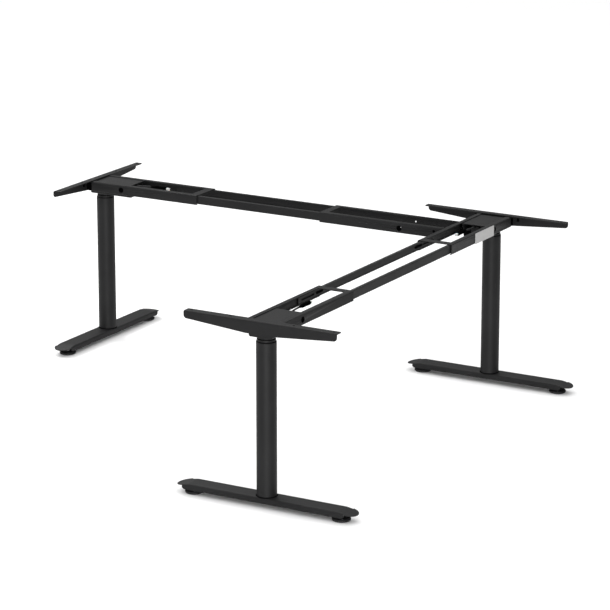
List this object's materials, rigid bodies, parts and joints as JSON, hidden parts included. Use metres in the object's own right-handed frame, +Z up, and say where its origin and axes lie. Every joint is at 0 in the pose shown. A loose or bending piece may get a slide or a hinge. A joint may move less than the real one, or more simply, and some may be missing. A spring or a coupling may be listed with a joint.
{
  "type": "height adjustable standing desk frame",
  "caption": "Black steel L-shaped standing desk frame with telescopic lifting legs, sliding cross rails, desktop side brackets, long flat feet and levelling glides.",
  "frame": {"origin": "on the floor under the centre of the bounding box, with the frame at its lowest height", "axes": "+Z up, +X along the long beam from the left leg to the corner leg, +Y from the front leg to the corner leg"},
  "size_m": [2.018, 1.876, 0.6568],
  "materials": {
    "black_coat": "semi-gloss fine-textured black powder coat",
    "black_plastic": "satin moulded black plastic",
    "zinc_steel": "bright zinc plated steel",
    "nylon": "natural white moulded nylon",
    "cast_alloy": "die-cast aluminium alloy",
    "satin_plate": "satin silver blank plate"
  },
  "bodies": {
    "left_base": {"left_foot": "black_coat", "left_outer_tube": "black_coat", "left_outer_collar": "black_plastic", "left_stand_pipe": "zinc_steel"},
    "left_glide_a": {"left_glide_a": "black_plastic"},
    "left_glide_b": {"left_glide_b": "black_plastic"},
    "left_mid": {"left_mid_tube": "black_coat", "left_mid_collar": "black_plastic"},
    "left_lower_spindle": {"left_lower_spindle": "zinc_steel"},
    "left_frame": {"left_inner_tube": "black_coat", "left_motor_tray": "black_coat", "left_gearbox": "cast_alloy", "left_motor": "zinc_steel", "left_motor_plug": "black_plastic", "left_cover_plate": "black_coat", "left_head_frame": "black_coat", "left_side_bracket": "black_coat"},
    "left_upper_spindle": {"left_upper_spindle": "zinc_steel"},
    "corner_base": {"corner_foot": "black_coat", "corner_outer_tube": "black_coat", "corner_outer_collar": "black_plastic", "corner_stand_pipe": "zinc_steel"},
    "corner_glide_a": {"corner_glide_a": "black_plastic"},
    "corner_glide_b": {"corner_glide_b": "black_plastic"},
    "corner_mid": {"corner_mid_tube": "black_coat", "corner_mid_collar": "black_plastic"},
    "corner_lower_spindle": {"corner_lower_spindle": "zinc_steel"},
    "corner_frame": {"corner_inner_tube": "black_coat", "corner_motor_tray": "black_coat", "corner_gearbox": "cast_alloy", "corner_motor": "zinc_steel", "corner_motor_plug": "black_plastic", "corner_cover_plate": "black_coat", "corner_head_frame": "black_coat", "corner_side_bracket": "black_coat", "name_plate": "satin_plate", "long_channel": "black_coat"},
    "corner_upper_spindle": {"corner_upper_spindle": "zinc_steel"},
    "front_base": {"front_foot": "black_coat", "front_outer_tube": "black_coat", "front_outer_collar": "black_plastic", "front_stand_pipe": "zinc_steel"},
    "front_glide_a": {"front_glide_a": "black_plastic"},
    "front_glide_b": {"front_glide_b": "black_plastic"},
    "front_mid": {"front_mid_tube": "black_coat", "front_mid_collar": "black_plastic"},
    "front_lower_spindle": {"front_lower_spindle": "zinc_steel"},
    "front_frame": {"front_inner_tube": "black_coat", "front_motor_tray": "black_coat", "front_gearbox": "cast_alloy", "front_motor": "zinc_steel", "front_motor_plug": "black_plastic", "front_cover_plate": "black_coat", "front_head_frame": "black_coat", "front_side_bracket": "black_coat"},
    "front_upper_spindle": {"front_upper_spindle": "zinc_steel"},
    "long_rails": {"long_rail_front": "black_coat", "long_rail_back": "black_coat"},
    "short_rails": {"short_rail_left": "black_coat", "short_rail_right": "black_coat"}
  },
  "joints": [
    {"name": "lift_corner", "type": "slide", "parent": "corner_base", "child": "corner_frame", "axis": [0, 0, 1], "range_m": [0, 0.65]},
    {"name": "long_rails_slide", "type": "slide", "parent": "corner_frame", "child": "long_rails", "axis": [-1, 0, 0], "range_m": [0, 0.25]},
    {"name": "left_head_slide", "type": "slide", "parent": "long_rails", "child": "left_frame", "axis": [-1, 0, 0], "range_m": [-0.12, 0.1]},
    {"name": "short_rails_slide", "type": "slide", "parent": "corner_frame", "child": "short_rails", "axis": [0, -1, 0], "range_m": [-0.14, 0.08]},
    {"name": "front_head_slide", "type": "slide", "parent": "short_rails", "child": "front_frame", "axis": [0, -1, 0], "range_m": [-0.14, 0.08]},
    {"name": "lift_left", "type": "slide", "parent": "left_frame", "child": "left_base", "axis": [0, 0, -1], "range_m": [0, 0.65]},
    {"name": "lift_front", "type": "slide", "parent": "front_frame", "child": "front_base", "axis": [0, 0, -1], "range_m": [0, 0.65]},
    {"name": "left_mid_stage", "type": "slide", "parent": "left_base", "child": "left_mid", "axis": [0, 0, 1], "range_m": [0, 0.325]},
    {"name": "left_lower_screw", "type": "hinge", "parent": "left_mid", "child": "left_lower_spindle", "pos_m": [-0.961, 0.588, 0.3], "axis": [0, 0, 1], "range_deg": [0, 11700]},
    {"name": "left_upper_screw", "type": "hinge", "parent": "left_frame", "child": "left_upper_spindle", "pos_m": [-0.961, 0.588, 0.3], "axis": [0, 0, 1], "range_deg": [0, 11700]},
    {"name": "left_level_a", "type": "slide", "parent": "left_base", "child": "left_glide_a", "axis": [0, 0, -1], "range_m": [0, 0.01]},
    {"name": "left_level_b", "type": "slide", "parent": "left_base", "child": "left_glide_b", "axis": [0, 0, -1], "range_m": [0, 0.01]},
    {"name": "corner_mid_stage", "type": "slide", "parent": "corner_base", "child": "corner_mid", "axis": [0, 0, 1], "range_m": [0, 0.325]},
    {"name": "corner_lower_screw", "type": "hinge", "parent": "corner_mid", "child": "corner_lower_spindle", "pos_m": [0.659, 0.792, 0.3], "axis": [0, 0, 1], "range_deg": [0, 11700]},
    {"name": "corner_upper_screw", "type": "hinge", "parent": "corner_frame", "child": "corner_upper_spindle", "pos_m": [0.659, 0.792, 0.3], "axis": [0, 0, 1], "range_deg": [0, 11700]},
    {"name": "corner_level_a", "type": "slide", "parent": "corner_base", "child": "corner_glide_a", "axis": [0, 0, -1], "range_m": [0, 0.01]},
    {"name": "corner_level_b", "type": "slide", "parent": "corner_base", "child": "corner_glide_b", "axis": [0, 0, -1], "range_m": [0, 0.01]},
    {"name": "front_mid_stage", "type": "slide", "parent": "front_base", "child": "front_mid", "axis": [0, 0, 1], "range_m": [0, 0.325]},
    {"name": "front_lower_screw", "type": "hinge", "parent": "front_mid", "child": "front_lower_spindle", "pos_m": [0.659, -0.89, 0.3], "axis": [0, 0, 1], "range_deg": [0, 11700]},
    {"name": "front_upper_screw", "type": "hinge", "parent": "front_frame", "child": "front_upper_spindle", "pos_m": [0.659, -0.89, 0.3], "axis": [0, 0, 1], "range_deg": [0, 11700]},
    {"name": "front_level_a", "type": "slide", "parent": "front_base", "child": "front_glide_a", "axis": [0, 0, -1], "range_m": [0, 0.01]},
    {"name": "front_level_b", "type": "slide", "parent": "front_base", "child": "front_glide_b", "axis": [0, 0, -1], "range_m": [0, 0.01]}
  ],
  "couplings": [
    {"joint": "lift_left", "follows": "lift_corner", "ratio": 1},
    {"joint": "lift_front", "follows": "lift_corner", "ratio": 1},
    {"joint": "left_mid_stage", "follows": "lift_corner", "ratio": 0.5},
    {"joint": "left_lower_screw", "follows": "lift_corner", "rad_per_m": 314.16},
    {"joint": "left_upper_screw", "follows": "lift_corner", "rad_per_m": 314.16},
    {"joint": "corner_mid_stage", "follows": "lift_corner", "ratio": 0.5},
    {"joint": "corner_lower_screw", "follows": "lift_corner", "rad_per_m": 314.16},
    {"joint": "corner_upper_screw", "follows": "lift_corner", "rad_per_m": 314.16},
    {"joint": "front_mid_stage", "follows": "lift_corner", "ratio": 0.5},
    {"joint": "front_lower_screw", "follows": "lift_corner", "rad_per_m": 314.16},
    {"joint": "front_upper_screw", "follows": "lift_corner", "rad_per_m": 314.16}
  ]
}
